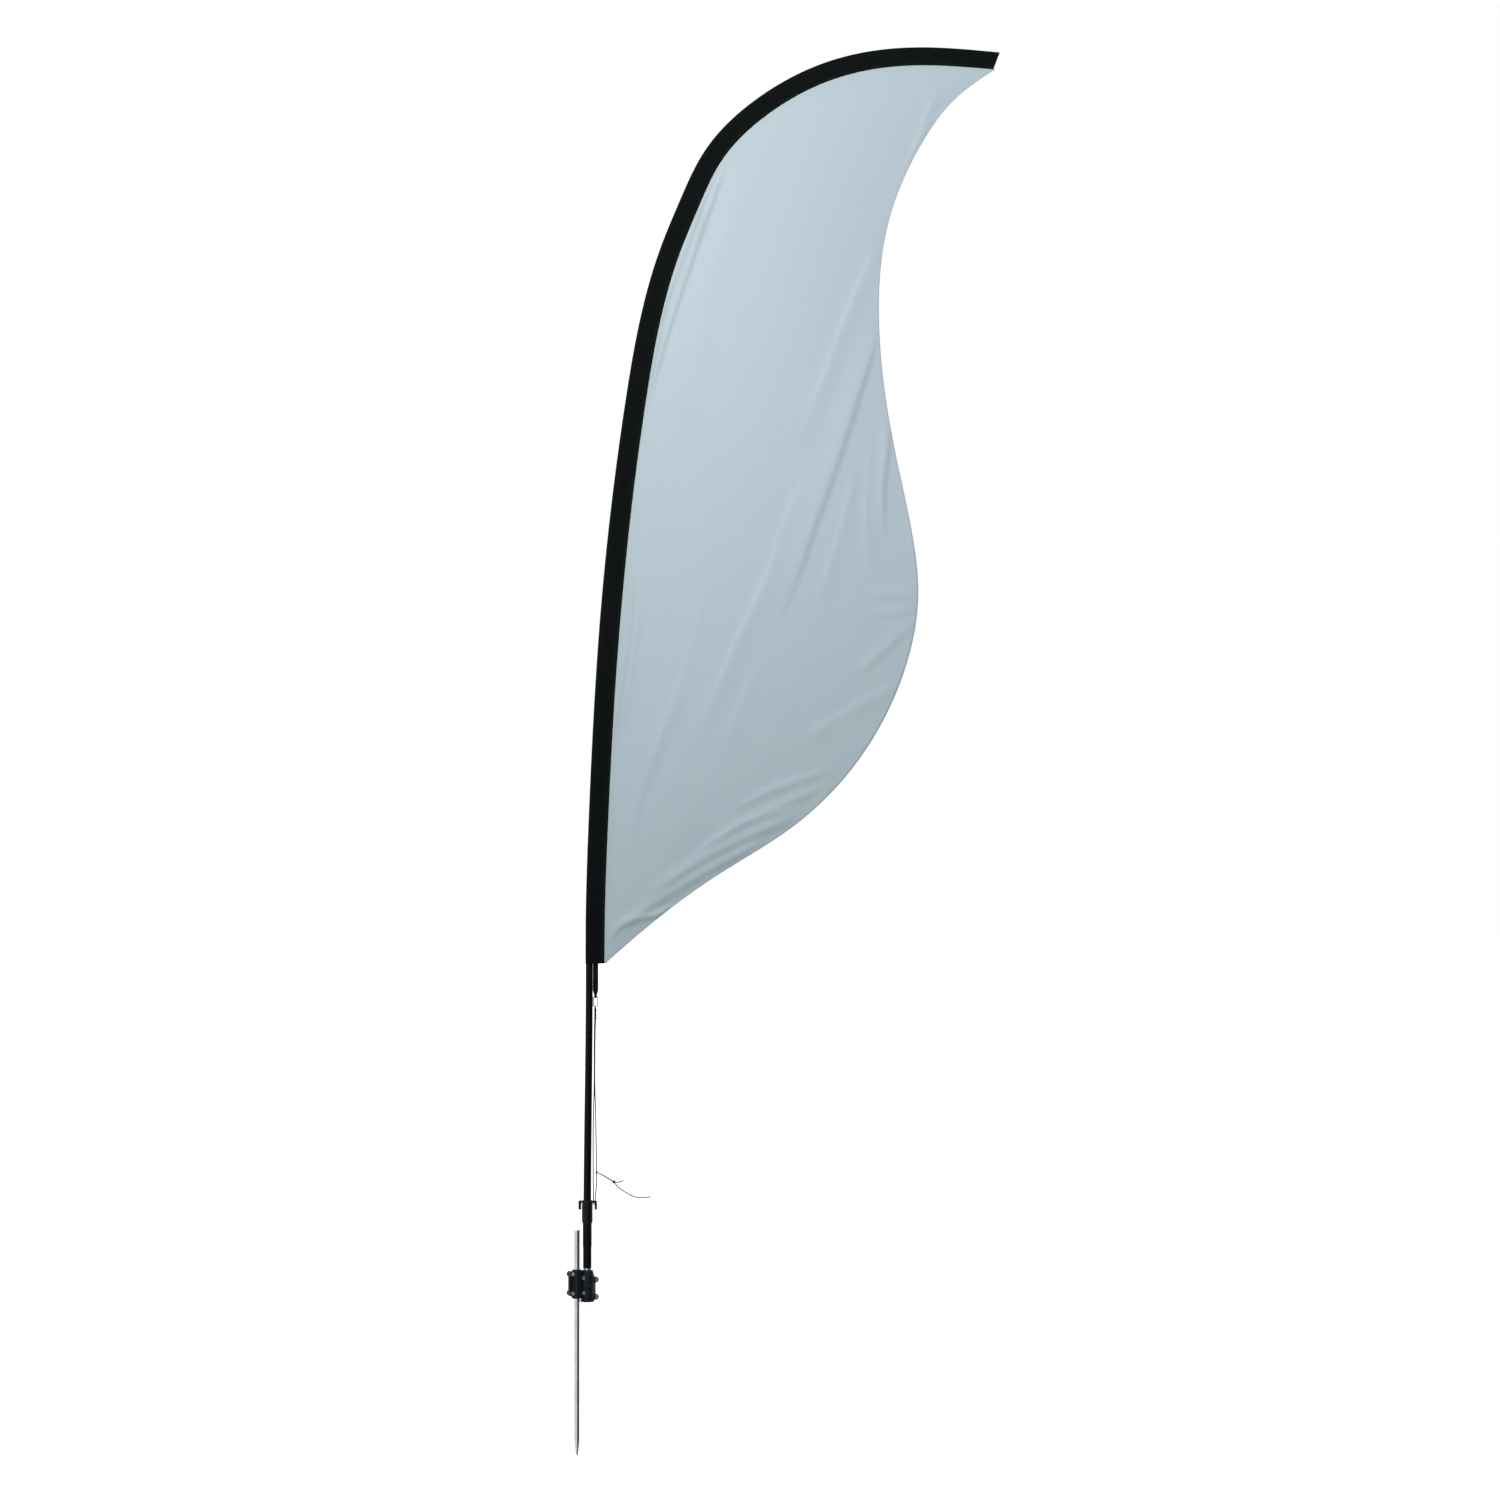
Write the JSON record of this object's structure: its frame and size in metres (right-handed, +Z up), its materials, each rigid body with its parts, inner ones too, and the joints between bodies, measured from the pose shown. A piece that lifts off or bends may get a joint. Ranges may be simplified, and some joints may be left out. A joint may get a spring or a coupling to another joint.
{
  "type": "feather flag",
  "caption": "Feather flag: a bent sectional pole in a sewn sleeve carries a curved sail, turning on a spindle clamped to a ground stake.",
  "frame": {"origin": "on the ground stake's axis, at the ground line", "axes": "+Z up along the stake, +X from the stake towards the side the flag bends to, +Y towards the flag's back"},
  "size_m": [1.0831, 0.0789, 3.5176],
  "materials": {
    "zinc_steel": "bright zinc plated, lightly brushed",
    "nickel_steel": "bright nickel",
    "clamp_nylon": "moulded blue-black nylon, satin",
    "bush_acetal": "turned natural acetal",
    "black_tube": "satin black coat",
    "collar_nylon": "moulded black nylon",
    "pole_fibreglass": "black fibreglass tube, semi-gloss",
    "black_rubber": "matt rubber",
    "sleeve_cloth": "black woven polyester, matt",
    "sail_cloth": "pale blue-grey knitted polyester, soft sheen",
    "black_webbing": "woven webbing",
    "elastic_cord": "braided elastic cord"
  },
  "bodies": {
    "ground_stake": {"ground_stake": "zinc_steel"},
    "clamp": {"clamp_front": "clamp_nylon", "clamp_rear": "clamp_nylon", "clamp_screw_1": "nickel_steel", "clamp_screw_2": "nickel_steel", "clamp_screw_3": "nickel_steel", "clamp_screw_4": "nickel_steel", "clamp_screw_5": "nickel_steel", "clamp_screw_6": "nickel_steel", "clamp_nut_1": "nickel_steel", "clamp_nut_2": "nickel_steel", "clamp_nut_3": "nickel_steel", "clamp_nut_4": "nickel_steel", "clamp_nut_5": "nickel_steel", "clamp_nut_6": "nickel_steel", "housing_cap": "clamp_nylon", "lower_bush": "bush_acetal", "upper_bush": "bush_acetal"},
    "pole": {"collar_screw": "nickel_steel", "cord_front": "elastic_cord", "cord_knot": "elastic_cord", "cord_rear": "elastic_cord", "cord_tail_long": "elastic_cord", "cord_tail_short": "elastic_cord", "hook_collar": "collar_nylon", "lower_tube": "black_tube", "pole_foot_plug": "black_rubber", "pole_section_1": "pole_fibreglass", "pole_section_2": "pole_fibreglass", "pole_section_3": "pole_fibreglass", "pole_section_4": "pole_fibreglass", "pole_spigot_1": "zinc_steel", "pole_spigot_2": "zinc_steel", "pole_spigot_3": "zinc_steel", "pole_stop": "black_rubber", "pole_tip_cap": "black_rubber", "retaining_ring": "nickel_steel", "ring_hitch": "elastic_cord", "sail": "sail_cloth", "sleeve": "sleeve_cloth", "spindle": "zinc_steel", "tab_ring": "nickel_steel", "tail_end_long": "elastic_cord", "tail_end_short": "elastic_cord", "tail_knot": "elastic_cord", "tension_tab": "black_webbing", "tube_rivet": "nickel_steel"}
  },
  "joints": [
    {"name": "clamp_slide", "type": "slide", "parent": "ground_stake", "child": "clamp", "axis": [0, 0, 1], "range_m": [-0.045, 0.09]},
    {"name": "pole_spin", "type": "hinge", "parent": "clamp", "child": "pole", "pos_m": [0.02539, 0.01294, 0.13], "axis": [0, 0, 1], "continuous": true}
  ]
}
